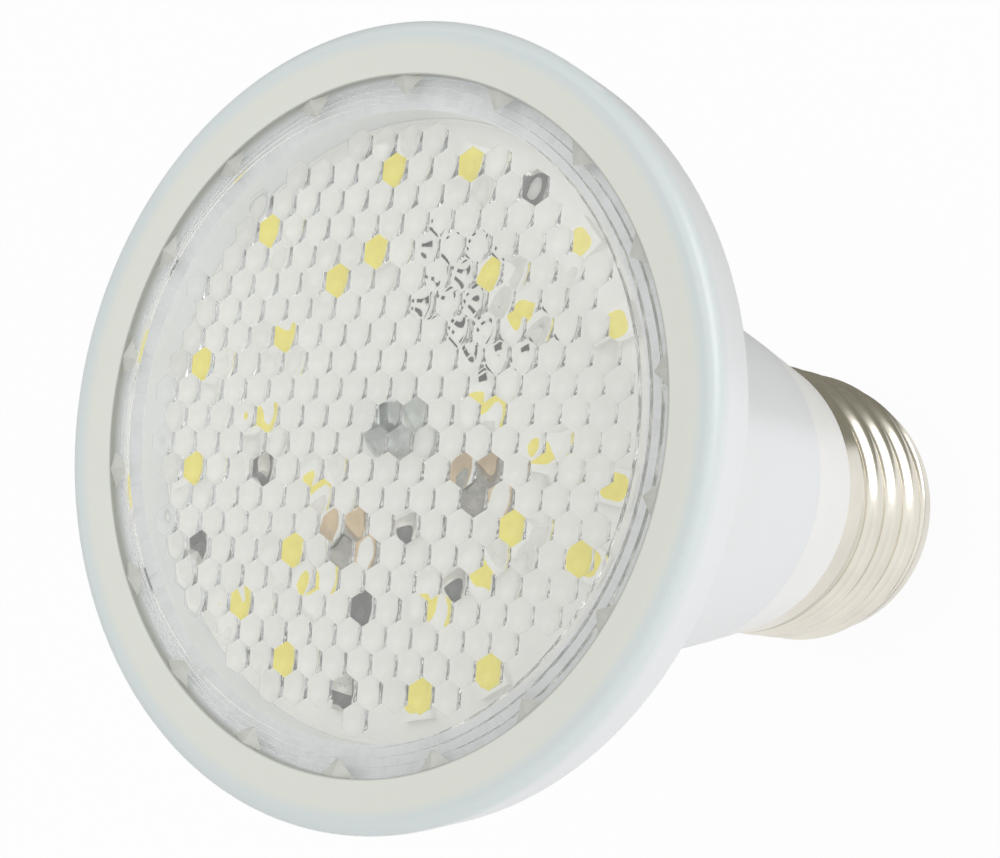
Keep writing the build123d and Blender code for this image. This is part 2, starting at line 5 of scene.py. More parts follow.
import bmesh
import bpy
from bpy.props import FloatProperty, FloatVectorProperty, IntProperty, PointerProperty
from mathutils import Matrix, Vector


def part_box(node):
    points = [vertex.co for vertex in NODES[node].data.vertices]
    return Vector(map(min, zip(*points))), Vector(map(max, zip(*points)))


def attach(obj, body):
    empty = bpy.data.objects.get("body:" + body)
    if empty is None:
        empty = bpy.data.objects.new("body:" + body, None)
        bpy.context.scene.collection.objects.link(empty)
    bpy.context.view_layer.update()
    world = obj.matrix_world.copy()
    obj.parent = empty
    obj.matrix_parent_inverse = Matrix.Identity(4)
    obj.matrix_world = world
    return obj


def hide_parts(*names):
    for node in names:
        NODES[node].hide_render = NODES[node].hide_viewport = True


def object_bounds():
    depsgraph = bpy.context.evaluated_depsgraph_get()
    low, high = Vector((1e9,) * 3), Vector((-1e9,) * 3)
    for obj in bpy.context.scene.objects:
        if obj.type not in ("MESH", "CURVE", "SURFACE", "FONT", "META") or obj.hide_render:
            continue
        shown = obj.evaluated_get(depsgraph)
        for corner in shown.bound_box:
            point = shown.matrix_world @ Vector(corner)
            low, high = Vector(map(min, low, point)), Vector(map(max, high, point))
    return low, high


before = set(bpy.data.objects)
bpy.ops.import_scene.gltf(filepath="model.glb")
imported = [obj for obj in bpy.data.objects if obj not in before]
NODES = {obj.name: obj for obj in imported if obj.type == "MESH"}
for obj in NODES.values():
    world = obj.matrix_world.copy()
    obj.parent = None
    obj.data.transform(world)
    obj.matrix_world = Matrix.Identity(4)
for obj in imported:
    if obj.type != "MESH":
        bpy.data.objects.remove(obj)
CAD_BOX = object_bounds()
BODY = "root"
LENS_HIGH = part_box("lens")[1]
BOARD_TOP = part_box("led_board")[1].z

# Small distances and thicknesses, in metres. The crest of the rim stands over the edge of the dish.
MERGE_DISTANCE = 1e-6
WELD_DISTANCE = 1e-5
CUT_CLEARANCE = 3e-5
CREST_HEIGHT = 4e-4
BORDER_FADE = 2e-4
INK_THICKNESS = 2e-5
FLUX_THICKNESS = 3e-5
FLAG_LIFT = 1e-4
MILK_REACH = 1e-3

# Radii between which the tones of the rim change, and heights over which they take over from the wall's.
# The innermost tone is painted shade on the short wall around the lens, and the crest's tone is partly
# painted reflection
RIM_BAND = (0.0270, 0.0322)
FRONT_BAND = (0.0785, 0.0797)

# Steps of round pieces, and angles in degrees past which an edge stays sharp
ROUND_STEPS = 180
LENS_STEPS = 480
PLASTIC_CREASE = 28
METAL_CREASE = 30
THREAD_CREASE = 40
LENS_CREASE = 40
SEAL_CREASE = 60

# Forms of small pieces. A wave of a flux stain's edge has a height, a number and a phase.
CELL_RING_RATIOS = (0.75, 0.6, 0.4)
DASH_SEED = 4
SHORTEST_DASH = 0.35
CAP_START = 0.6
FLUX_POINTS = 40
FLUX_TOP_SHARE = 0.96
FLUX_WAVES = ((0.10, 3, 0.7), (0.05, 7, 0.0))

# Spread of tone and gloss in the materials
NOISE_DETAIL = 3.0
PATCH_STOPS = (0.3, 0.7)
FINE_GRAIN = 8
GLOSS_SPREAD = 0.15
CLEAR_GLOSS = (0.02, 0.07)

# Finishes: lumps in a metre, variation of tone, roughness, depth of grain in metres, and 1 for metal
FINISHES = {
    "satin_plastic": (120, 0.02, 0.4, 1e-5, 0),
    "frosted_plastic": (900, 0.03, 0.12, 6e-6, 0),
    "glassy_insulator": (300, 0.2, 0.12, 4e-6, 0),
    "tinned_contact": (900, 0.08, 0.3, 1e-5, 1),
    "solder_mask": (400, 0.02, 0.45, 6e-6, 0),
    "led_body": (900, 0.03, 0.4, 6e-6, 0),
    "led_phosphor": (1500, 0.06, 0.5, 1e-5, 0),
    "solder": (900, 0.3, 0.22, 8e-5, 1),
    "dark_steel": (1500, 0.15, 0.25, 1e-5, 1),
    "dried_flux": (700, 0.3, 0.3, 2e-5, 0),
    "board_ink": (3000, 0.3, 0.5, 4e-6, 0),
    "white_sealant": (300, 0.02, 0.4, 1e-5, 0),
    "driver_laminate": (900, 0.1, 0.4, 1e-5, 0),
    "drawn_can": (700, 0.05, 0.3, 6e-6, 1),
    "ferrite": (1800, 0.2, 0.6, 2e-5, 0),
    "dipped_film": (500, 0.06, 0.2, 1e-5, 0),
    "rectifier_epoxy": (2000, 0.2, 0.4, 1e-5, 0),
    "resistor_coat": (1200, 0.08, 0.5, 1e-5, 0),
    "tinned_wire": (1500, 0.08, 0.28, 1e-5, 1),
    "flag_cloth": (200, 0.1, 0.9, 1e-5, 0),
}

bl_info = {
    "name": "Grow light bulb",
    "version": (1, 0, 0),
    "blender": (4, 5, 0),
    "location": "3D View > Sidebar > Grow bulb",
    "description": "Dresses the solids of a reflector lamp for growing plants",
    "category": "Object",
}


# Settings


def kind_of(make, **limits):
    """Function that declares a property of one kind."""

    def declare(name, description, default):
        return make(name=name, description=description, default=default, **limits)

    return declare


length = kind_of(FloatProperty, min=0, unit="LENGTH", precision=5)
angle = kind_of(FloatProperty, subtype="ANGLE")
share = kind_of(FloatProperty, min=0, max=1, subtype="FACTOR")
watts = kind_of(FloatProperty, min=0, unit="POWER")
amount = kind_of(FloatProperty, min=0)
how_many = kind_of(IntProperty, min=1)
colour = kind_of(FloatVectorProperty, size=3, min=0, max=1, subtype="COLOR")
direction = kind_of(FloatVectorProperty, subtype="DIRECTION")
translation = kind_of(FloatVectorProperty, subtype="TRANSLATION")
euler = kind_of(FloatVectorProperty, subtype="EULER")


class HousingSettings(bpy.types.PropertyGroup):
    """Finish of the white cup and of the collar under it."""

    wall: colour("Wall", "Colour of the cup's outer wall", (0.85, 0.87, 0.88))
    # Crest: partly the translucent edge's own tint, partly painted reflection where the rim turns
    crest: colour("Crest", "Colour of the band along the rim's crest", (0.74, 0.80, 0.80))
    dish: colour("Dish", "Colour of the slope inside the rim", (0.82, 0.84, 0.77))
    # Painted shade: the short wall around the lens gets a dark colour where it lies in shadow
    recess_shade: colour("Recess", "Colour of the short wall around the lens", (0.42, 0.43, 0.39))
    recess_radius: length("Recess radius", "Radius of the wall around the lens", 0.0276)
    recess_depth: length("Recess depth", "Depth of that wall above the lens border", 0.0007)
    collar: colour("Collar", "Colour of the collar above the screw base", (0.93, 0.93, 0.91))
    milkiness: share("Milkiness", "How far light spreads under the surface", 0.12)


class BaseSettings(bpy.types.PropertyGroup):
    """Finish of the screw base."""

    nickel: colour("Nickel", "Colour of the plated shell", (0.84, 0.80, 0.71))
    contact: colour("Contact", "Colour of the centre contact", (0.62, 0.60, 0.56))
    insulator: colour("Insulator", "Colour of the ring around the contact", (0.03, 0.03, 0.035))


class BoardSettings(bpy.types.PropertyGroup):
    """Finish of the board and what is soldered to it."""

    mask: colour("Mask", "Colour of the white solder mask", (0.91, 0.91, 0.87))
    phosphor: colour("Phosphor", "Colour of the LED windows", (0.98, 0.85, 0.13))
    package: colour("Package", "Colour of the LED bodies", (0.92, 0.92, 0.88))
    print_radius: length("Print radius", "Radius of the inner arc of printed dashes", 0.0086)
    print_gap: length("Print gap", "Distance between the bands of printed dashes", 0.0022)
    print_bands: how_many("Print bands", "Bands of printed dashes", 4)
    print_rows: how_many("Print rows", "Rows of dashes in a band", 6)
    row_gap: length("Row gap", "Distance between the rows of a band", 0.0003)
    print_start: angle("Print start", "Angle at which the arcs of dashes start", radians(16))
    print_end: angle("Print end", "Angle at which the arcs of dashes end", radians(78))
    dash_pitch: length("Dash pitch", "Distance between neighbouring dashes", 0.00032)
    dash_length: length("Dash length", "Length of the longest printed dash", 0.0003)
    dash_width: length("Dash width", "Width of one printed dash", 0.00012)
    ink: colour("Ink", "Colour of the printed dashes", (0.03, 0.03, 0.03))
    chip_body: share("Chip body", "Share of a chip's length between its end caps", 0.56)
    seal_radius: length("Seal radius", "Radius of the bead around the board", 0.02493)
    seal_width: length("Seal width", "Width of the bead around the board", 0.0004)
    flux_radius: length("Flux radius", "Size of the flux stain around a solder joint", 0.0023)
    flux: colour("Flux", "Colour of dried flux", (0.62, 0.47, 0.28))


class LensSettings(bpy.types.PropertyGroup):
    """Form and finish of the clear lens."""

    plate_radius: length("Plate radius", "Outer radius of the plate", 0.0274)
    border: length("Border", "Width of the stepped border", 0.0021)
    steps: how_many("Steps", "Steps in the border", 3)
    edge: length("Edge", "Thickness of the plate at its edge", 0.0012)
    middle: length("Middle", "Thickness of the plate inside the border", 0.0026)
    pitch: length("Pitch", "Distance between neighbouring cells", 0.0025)
    field_radius: length("Field radius", "Radius that the cells fill", 0.0246)
    row_turn: angle("Row turn", "Turn of the rows of cells", radians(-8))
    root: length("Root", "Depth of the cells in the plate", 0.0005)
    valley: length("Valley", "Depth of the cell corners under the plate", 0.00005)
    rise: length("Rise", "Depth of a cell from its corners to its middle", 0.00034)
    tooth_count: how_many("Teeth", "Teeth around the lens", 18)
    tooth_radius: length("Tooth radius", "Radius at the roots of the teeth", 0.0276)
    tooth_length: length("Tooth length", "Length of a tooth towards the axis", 0.00152)
    tooth_width: length("Tooth width", "Width of a tooth at its root", 0.0034)
    tooth_height: length("Tooth height", "Height of a tooth at its root", 0.00054)
    tooth_colour: colour("Teeth", "Colour of the teeth", (0.83, 0.845, 0.78))
    tooth_clarity: share("Tooth clarity", "Share of the light that passes through the teeth", 0.35)
    border_frost: share("Border frost", "Roughness of the stepped border", 0.16)
    refraction: amount("Refraction", "Refractive index of the plastic", 1.49)
    clarity: share("Clarity", "Share of the light that passes through the lens", 0.92)
    tint: colour("Tint", "Colour of the clear plastic", (0.975, 0.98, 0.96))


class DriverSettings(bpy.types.PropertyGroup):
    """Finish of the hidden driver parts."""

    laminate: colour("Laminate", "Colour of the driver board", (0.10, 0.30, 0.16))
    can: colour("Can", "Colour of the smoothing capacitor", (0.55, 0.56, 0.58))
    ferrite: colour("Ferrite", "Colour of the choke", (0.12, 0.11, 0.10))
    film: colour("Film", "Colour of the input capacitor", (0.80, 0.64, 0.14))
    coat: colour("Coat", "Colour of the fusible resistor", (0.20, 0.38, 0.55))
    tin: colour("Tin", "Colour of the tinned leads", (0.66, 0.65, 0.62))
    epoxy: colour("Epoxy", "Colour of dark chips", (0.10, 0.10, 0.10))
    solder: colour("Solder", "Colour of solder", (0.44, 0.43, 0.40))
    steel: colour("Steel", "Colour of the board screw", (0.56, 0.59, 0.58))


class StageSettings(bpy.types.PropertyGroup):
    """Floor, light and camera."""

    floor_size: length("Floor size", "Side of the square floor", 6.0)
    floor_colour: colour("Floor", "Colour of the floor", (0.9, 0.9, 0.9))
    shadow: share("Shadow", "How much of its own shading the floor shows", 0.05)
    mirrored_shadow: share("Mirrored shadow", "How much of its own shading the floor shows in gloss", 0.3)
    surround_dim: amount("Dim side", "Light from the dim side", 0.47)
    surround_bright: amount("Bright side", "Light from the other side", 0.86)
    bright_from: direction("Bright from", "Direction of the brighter light", (0.90, -0.40, 0.15))
    backdrop_top: share("Backdrop top", "How high the white backdrop reaches, as the sine of an angle", 0.6)
    lamp_distance: length("Lamp distance", "Distance of the lamps from the bulb", 0.7)
    lamp_size: length("Lamp size", "Side of each square lamp", 0.5)
    key_from: direction("Key from", "Direction of the main lamp", (-0.2, 0.4, 0.9))
    key_power: watts("Key", "Power of the main lamp", 0.7)
    fill_from: direction("Fill from", "Direction of the second lamp", (1.0, -0.3, 0.25))
    fill_power: watts("Fill", "Power of the second lamp", 0.9)
    gloss_from: direction("Gloss from", "Direction of the lamp for highlights", (0.84, 0.34, 0.42))
    gloss_power: watts("Gloss", "Power of the lamp for highlights", 2.4)
    flag_size: length("Flag size", "Side of the dark card beside the base", 0.2)
    flag_gap: length("Flag gap", "Distance of the dark card from the axis of the bulb", 0.012)
    flag_colour: colour("Flag", "Colour of the dark card", (0.28, 0.27, 0.22))
    focal_length: amount("Focal length", "Focal length in millimetres", 96.44)
    camera_place: translation("Camera place", "Where the camera stands", (0.12703, -0.03847, 0.24170))
    camera_turn: euler("Camera turn", "How it is turned", (radians(8.50), radians(35.73), radians(-3.16)))


# Helpers for node trees


def feed(tree, node, inputs):
    """Sets inputs of a node, each to a value or to the socket that feeds it."""
    for name, value in inputs.items():
        if isinstance(value, bpy.types.NodeSocket):
            tree.links.new(value, node.inputs[name])
        else:
            node.inputs[name].default_value = value


def put(tree, kind, inputs=None, **settings):
    """Adds a node and sets its inputs and settings."""
    node = tree.nodes.new(kind)
    for name, value in settings.items():
        setattr(node, name, value)
    feed(tree, node, inputs or {})
    return node


def calc(tree, operation, *values):
    """Adds a Math node and gives its result."""
    inputs = dict(enumerate(values))
    return put(tree, "ShaderNodeMath", inputs, operation=operation).outputs[0]


def vector(tree, **parts):
    """Vector with the parts X, Y and Z that are given."""
    return put(tree, "ShaderNodeCombineXYZ", parts).outputs[0]


# Helpers for materials


def new_material(name):
    """Empty material, its node tree and its Principled shader."""
    material = bpy.data.materials.new(name)
    material.use_nodes = True
    tree = material.node_tree
    return material, tree, tree.nodes["Principled BSDF"]


def place(tree):
    """Object coordinates."""
    return put(tree, "ShaderNodeTexCoord").outputs["Object"]


def noise(tree, coordinates, scale):
    """Noise from 0 to 1, with so many lumps in a metre."""
    inputs = {"Vector": coordinates, "Scale": scale, "Detail": NOISE_DETAIL}
    return put(tree, "ShaderNodeTexNoise", inputs).outputs["Fac"]


def spread(tree, value, low, high):
    """Value from 0 to 1 spread between two numbers."""
    inputs = {"Value": value, "To Min": low, "To Max": high}
    return put(tree, "ShaderNodeMapRange", inputs).outputs["Result"]


def ramp(tree, value, stops):
    """Colour that follows a value through stops of (position, colour)."""
    node = put(tree, "ShaderNodeValToRGB", {"Fac": value})
    elements = node.color_ramp.elements
    while len(elements) < len(stops):
        elements.new(0.5)
    for element, (position, tone) in zip(elements, stops):
        element.position = position
        element.color = (*tone, 1)
    return node.outputs["Color"]


def patchy(tree, value, dark, light):
    """Colour that varies in soft patches between two tones."""
    low, high = PATCH_STOPS
    return ramp(tree, value, [(low, dark), (high, light)])


def shaded(tone, factor):
    """A colour made lighter or darker."""
    return tuple(min(1, channel * factor) for channel in tone)


def bump(tree, height, distance):
    """Normal that is moved by a height."""
    inputs = {"Height": height, "Distance": distance, "Strength": 1.0}
    return put(tree, "ShaderNodeBump", inputs).outputs["Normal"]


def grained(name, tone):
    """Material with one of the finishes: its colour varies a little, and its gloss is uneven."""
    lumps, variation, roughness, grain, metallic = FINISHES[name]
    material, tree, shader = new_material(name)
    coordinates = place(tree)
    patches = noise(tree, coordinates, lumps)
    tones = patchy(tree, patches, shaded(tone, 1 - variation), shaded(tone, 1 + variation))
    fine = noise(tree, coordinates, lumps * FINE_GRAIN)
    gloss = spread(tree, fine, roughness * (1 - GLOSS_SPREAD), roughness * (1 + GLOSS_SPREAD))
    normal = bump(tree, fine, grain)
    feed(tree, shader, {"Base Color": tones, "Roughness": gloss, "Normal": normal, "Metallic": metallic})
    return material


def give(piece, material):
    """Puts one material on a piece or a CAD node."""
    piece.data.materials.clear()
    piece.data.materials.append(material)


# Helpers for pieces


def settle(piece, material):
    """Material and body of a finished piece."""
    give(piece, material)
    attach(piece, BODY)


def new_piece(name, mesh):
    """Object in the scene for a mesh."""
    piece = bpy.data.objects.new(name, mesh)
    bpy.context.scene.collection.objects.link(piece)
    return piece


def smooth(mesh, degrees):
    """Smooth shading, with edges sharper than an angle kept."""
    mesh.shade_smooth()
    mesh.set_sharp_from_angle(angle=radians(degrees))


def smooth_copy(node, name, degrees=METAL_CREASE):
    """Smooth piece that stands for a CAD node: its loose triangles are merged."""
    mesh = NODES[node].data.copy()
    if "custom_normal" in mesh.attributes:
        mesh.attributes.remove(mesh.attributes["custom_normal"])
    shape = bmesh.new()
    shape.from_mesh(mesh)
    bmesh.ops.remove_doubles(shape, verts=shape.verts, dist=MERGE_DISTANCE)
    shape.to_mesh(mesh)
    shape.free()
    smooth(mesh, degrees)
    piece = new_piece(name, mesh)
    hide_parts(node)
    return piece


def piece_of(name, shape):
    """New piece from a bmesh, which is freed."""
    mesh = bpy.data.meshes.new(name)
    shape.to_mesh(mesh)
    shape.free()
    return new_piece(name, mesh)


def lathe(name, outline, steps, ring=False):
    """Closed piece from an outline of (radius, height) that is turned round the axis.

    The outline starts and ends on the axis, or it runs back to its start and gives a ring.
    """
    shape = bmesh.new()
    circles = []
    for radius, height in outline:
        count = steps if radius > 0 else 1
        turns = [2 * pi * step / steps for step in range(count)]
        places = [(radius * cos(turn), radius * sin(turn), height) for turn in turns]
        circles.append([shape.verts.new(spot) for spot in places])
    joined = circles[1:] + circles[:1] if ring else circles[1:]
    for low, high in zip(circles, joined):
        for step in range(steps):
            corners = []
            for circle, index in ((low, step), (low, step + 1), (high, step + 1), (high, step)):
                corner = circle[index % len(circle)]
                if corner not in corners:
                    corners.append(corner)
            shape.faces.new(corners)
    bmesh.ops.recalc_face_normals(shape, faces=shape.faces)
    return piece_of(name, shape)


def new_tree(name, counts, sizes):
    """Geometry Nodes tree with named inputs for counts and sizes, its input sockets and its output node."""
    tree = bpy.data.node_groups.new(name, "GeometryNodeTree")
    for kind, labels in (("NodeSocketInt", counts), ("NodeSocketFloat", sizes)):
        for label in labels:
            tree.interface.new_socket(label, in_out="INPUT", socket_type=kind)
    tree.interface.new_socket("Geometry", in_out="OUTPUT", socket_type="NodeSocketGeometry")
    return tree, tree.nodes.new("NodeGroupInput").outputs, tree.nodes.new("NodeGroupOutput")


def finish_tree(tree, geometry, output, material):
    """Realises the instances, sets their material and ends the tree."""
    real = put(tree, "GeometryNodeRealizeInstances", {"Geometry": geometry})
    dressed = put(tree, "GeometryNodeSetMaterial", {"Geometry": real.outputs[0], "Material": material})
    tree.links.new(dressed.outputs[0], output.inputs[0])


def make_plain(piece):
    """Makes the modifiers of a piece part of its mesh."""
    graph = bpy.context.evaluated_depsgraph_get()
    mesh = bpy.data.meshes.new_from_object(piece.evaluated_get(graph))
    piece.modifiers.clear()
    piece.data = mesh


def grow(name, tree, values):
    """Piece that a tree makes from its named values."""
    piece = new_piece(name, bpy.data.meshes.new(name))
    modifier = piece.modifiers.new(name, "NODES")
    modifier.node_group = tree
    for item in tree.interface.items_tree:
        if item.in_out == "INPUT":
            modifier[item.identifier] = values[item.name]
    make_plain(piece)
    return piece


def apply_boolean(piece, other, operation):
    """Adds another piece to this one or cuts it away, and removes the other piece."""
    modifier = piece.modifiers.new("boolean", "BOOLEAN")
    modifier.operation = operation
    modifier.solver = "MANIFOLD"
    modifier.object = other
    make_plain(piece)
    bpy.data.objects.remove(other)


# Housing and collar


def radius_and_height(tree):
    """Distance from the lamp axis and height over the contact."""
    parts = put(tree, "ShaderNodeSeparateXYZ", {"Vector": place(tree)})
    across = calc(tree, "POWER", parts.outputs["X"], 2.0)
    along = calc(tree, "POWER", parts.outputs["Y"], 2.0)
    return calc(tree, "SQRT", calc(tree, "ADD", across, along)), parts.outputs["Z"]


def between(tree, value, low, high):
    """Value mapped to 0 at one limit and 1 at the other."""
    inputs = {"Value": value, "From Min": low, "From Max": high}
    return put(tree, "ShaderNodeMapRange", inputs).outputs["Result"]


def milky_plastic(settings):
    """White moulded plastic: a cool band on the rim's crest, partly its own translucent tint and partly
    painted reflection, a warmer dish inside it, and painted shade on the short wall around the lens.
    """
    material, tree, shader = new_material("milky_plastic")
    radius, height = radius_and_height(tree)
    bands = ramp(
        tree,
        between(tree, radius, *RIM_BAND),
        [
            # Painted shade on the short wall around the lens
            (0.0, settings.recess_shade),
            (0.117, settings.recess_shade),
            (0.15, settings.dish),
            (0.55, settings.dish),
            # Partly the translucent edge's own tint, partly painted reflection along the crest
            (0.72, settings.crest),
            (0.93, settings.crest),
            (1.0, settings.wall),
        ],
    )
    front = between(tree, height, *FRONT_BAND)
    inputs = {"Factor": front, "A": (*settings.wall, 1), "B": bands}
    tone = put(tree, "ShaderNodeMix", inputs, data_type="RGBA").outputs["Result"]
    fine = noise(tree, place(tree), 9000)
    inputs = {
        "Base Color": tone,
        "Roughness": spread(tree, fine, 0.30, 0.40),
        "Normal": bump(tree, fine, 1e-5),
        "Subsurface Weight": settings.milkiness,
        "Subsurface Radius": (1.0, 1.0, 0.9),
        "Subsurface Scale": MILK_REACH,
    }
    feed(tree, shader, inputs)
    return material


class GROWBULB_OT_housing(bpy.types.Operator):
    """Dress the white cup and the collar of the sleeve."""

    bl_idname = "growbulb.housing"
    bl_label = "Housing"

    def execute(self, context):
        settings = context.scene.growbulb_housing
        cup = smooth_copy("housing", "cup", PLASTIC_CREASE)
        self.cut_teeth(cup, settings)
        settle(cup, milky_plastic(settings))
        collar = smooth_copy("driver_sleeve", "collar_sleeve", PLASTIC_CREASE)
        settle(collar, grained("satin_plastic", settings.collar))
        return {"FINISHED"}

    def cut_teeth(self, cup, settings):
        """Takes the teeth off the wall around the lens, to make room for ridged ones."""
        radius = settings.recess_radius - CUT_CLEARANCE
        low = CAD_BOX[1][2] - CREST_HEIGHT - settings.recess_depth
        high = CAD_BOX[1][2] + settings.recess_depth
        outline = [(0, low), (radius, low), (radius, high), (0, high)]
        cutter = lathe("cutter", outline, ROUND_STEPS)
        apply_boolean(cup, cutter, "DIFFERENCE")
        smooth(cup.data, PLASTIC_CREASE)


# Screw base


def nickel_plate(settings):
    """Polished plate with faint clouding and fine drawn marks round the shell."""
    material, tree, shader = new_material("nickel_plate")
    coordinates = place(tree)
    clouds = noise(tree, coordinates, 160)
    stops = [(0.35, shaded(settings.nickel, 0.94)), (0.65, shaded(settings.nickel, 1.04))]
    stretched = put(tree, "ShaderNodeMapping", {"Vector": coordinates, "Scale": (60, 60, 6000)})
    marks = noise(tree, stretched.outputs["Vector"], 1.0)
    inputs = {
        "Base Color": ramp(tree, clouds, stops),
        "Roughness": spread(tree, marks, 0.22, 0.27),
        "Normal": bump(tree, marks, 5e-7),
        "Metallic": 1.0,
    }
    feed(tree, shader, inputs)
    return material


class GROWBULB_OT_base(bpy.types.Operator):
    """Dress the threaded shell, its insulator and the centre contact."""

    bl_idname = "growbulb.base"
    bl_label = "Screw base"

    def execute(self, context):
        settings = context.scene.growbulb_base
        shell = smooth_copy("screw_shell", "threaded_shell", THREAD_CREASE)
        settle(shell, nickel_plate(settings))
        glass = grained("glassy_insulator", settings.insulator)
        settle(smooth_copy("base_insulator", "insulator_cone"), glass)
        tinned = grained("tinned_contact", settings.contact)
        settle(smooth_copy("centre_contact", "contact_button"), tinned)
        return {"FINISHED"}


# Board with LEDs


def dash_places(tree, given):
    """Points of the rows of dashes, and the turn of the dash at each."""
    index = put(tree, "GeometryNodeInputIndex").outputs[0]
    column = calc(tree, "FLOORED_MODULO", index, given["Columns"])
    line = calc(tree, "FLOOR", calc(tree, "DIVIDE", index, given["Columns"]))
    row = calc(tree, "FLOORED_MODULO", line, given["Rows"])
    band = calc(tree, "FLOOR", calc(tree, "DIVIDE", line, given["Rows"]))
    inner = calc(tree, "MULTIPLY_ADD", band, given["Band gap"], given["Radius"])
    radius = calc(tree, "MULTIPLY_ADD", row, given["Row gap"], inner)
    part = calc(tree, "DIVIDE", column, given["Columns"])
    turn = calc(tree, "MULTIPLY_ADD", part, given["Sweep"], given["Start"])
    across = calc(tree, "MULTIPLY", calc(tree, "COSINE", turn), radius)
    along = calc(tree, "MULTIPLY", calc(tree, "SINE", turn), radius)
    spots = vector(tree, X=across, Y=along, Z=given["Level"])
    lines = calc(tree, "MULTIPLY", given["Rows"], given["Bands"])
    count = calc(tree, "MULTIPLY", given["Columns"], lines)
    points = put(tree, "GeometryNodePoints", {"Count": count, "Position": spots})
    return points.outputs[0], turn


def dash_tree(material):
    """Bands of short bars along arcs, each bar a little longer or shorter than the next."""
    counts = ("Columns", "Rows", "Bands")
    sizes = ("Radius", "Row gap", "Band gap", "Start", "Sweep", "Length", "Width", "Thickness", "Level")
    tree, given, output = new_tree("printed_dashes", counts, sizes)
    points, turn = dash_places(tree, given)
    size = vector(tree, X=given["Width"], Y=given["Length"], Z=given["Thickness"])
    bar = put(tree, "GeometryNodeMeshCube", {"Size": size})
    inputs = {"Min": SHORTEST_DASH, "Max": 1.0, "Seed": DASH_SEED}
    stretch = put(tree, "FunctionNodeRandomValue", inputs, data_type="FLOAT")
    inputs = {
        "Points": points,
        "Instance": bar.outputs["Mesh"],
        "Rotation": vector(tree, Z=turn),
        "Scale": vector(tree, X=1.0, Y=stretch.outputs["Value"], Z=1.0),
    }
    placed = put(tree, "GeometryNodeInstanceOnPoints", inputs)
    finish_tree(tree, placed.outputs[0], output, material)
    return tree


def flux_edge(shape, centre, radius, level):
    """Points along the wavy edge of a flux stain."""
    edge = []
    for step in range(FLUX_POINTS):
        turn = 2 * pi * step / FLUX_POINTS
        waves = sum(height * sin(number * turn + phase) for height, number, phase in FLUX_WAVES)
        reach = radius * (1 + waves)
        edge.append(shape.verts.new((centre.x + reach * cos(turn), centre.y + reach * sin(turn), level)))
    return edge


def flux_stain(name, centre, radius):
    """Thin uneven film of dried flux around a solder joint."""
    shape = bmesh.new()
    low = flux_edge(shape, centre, radius, BOARD_TOP)
    high = flux_edge(shape, centre, radius * FLUX_TOP_SHARE, BOARD_TOP + FLUX_THICKNESS)
    for step in range(FLUX_POINTS):
        after = (step + 1) % FLUX_POINTS
        shape.faces.new((low[step], low[after], high[after], high[step]))
    shape.faces.new(high)
    shape.faces.new(reversed(low))
    return piece_of(name, shape)


def joint_centres():
    """Middle of each solder joint, taken from the CAD node."""
    near = [vertex.co for vertex in NODES["solder_joints"].data.vertices if vertex.co.y < 0]
    groups = [[co for co in near if co.x > 0], [co for co in near if co.x < 0]]
    return [sum(group, Vector()) / len(group) for group in groups]


def islands(shape):
    """Groups of points of a mesh that hang together."""
    seen = set()
    groups = []
    for start in shape.verts:
        if start in seen:
            continue
        seen.add(start)
        group = [start]
        for point in group:
            for edge in point.link_edges:
                other = edge.other_vert(point)
                if other not in seen:
                    seen.add(other)
                    group.append(other)
        groups.append(group)
    return groups


def linked(points, links):
    """Edges or faces at some points, each once."""
    return list(dict.fromkeys(part for point in points for part in getattr(point, links)))


def long_side(group):
    """Long side of a chip: by length, its level edges are short sides, long sides and diagonals."""
    edges = linked(group, "link_edges")
    level = [edge for edge in edges if abs(edge.verts[0].co.z - edge.verts[1].co.z) < MERGE_DISTANCE]
    level.sort(key=lambda edge: edge.calc_length())
    return level[len(level) // 2]


def mark_ends(mesh, body):
    """Cuts each chip where its end caps start, and marks its points by their share of the way to an end."""
    shape = bmesh.new()
    shape.from_mesh(mesh)
    ways = shape.verts.layers.float.new("way")
    for group in islands(shape):
        centre = sum((point.co for point in group), Vector()) / len(group)
        side = long_side(group)
        half = side.calc_length() / 2
        along = (side.verts[1].co - side.verts[0].co).normalized()
        for sign in (-1, 1):
            cut = bmesh.ops.bisect_plane(
                shape,
                geom=[*group, *linked(group, "link_edges"), *linked(group, "link_faces")],
                plane_co=centre + along * half * body * sign,
                plane_no=along,
            )
            group += [part for part in cut["geom_cut"] if isinstance(part, bmesh.types.BMVert)]
        for point in group:
            point[ways] = abs((point.co - centre).dot(along)) / half
    shape.to_mesh(mesh)
    shape.free()


def capped_chip(metals):
    """Dark chip with bright tinned ends."""
    material, tree, shader = new_material("capped_chip")
    way = put(tree, "ShaderNodeAttribute", attribute_name="way").outputs["Fac"]
    cap = calc(tree, "GREATER_THAN", way, CAP_START)
    grain = noise(tree, place(tree), 4000)
    inputs = {
        "Base Color": ramp(tree, cap, [(0.0, metals.epoxy), (1.0, metals.tin)]),
        "Roughness": spread(tree, grain, 0.2, 0.4),
        "Normal": bump(tree, grain, 1e-5),
        "Metallic": cap,
    }
    feed(tree, shader, inputs)
    return material


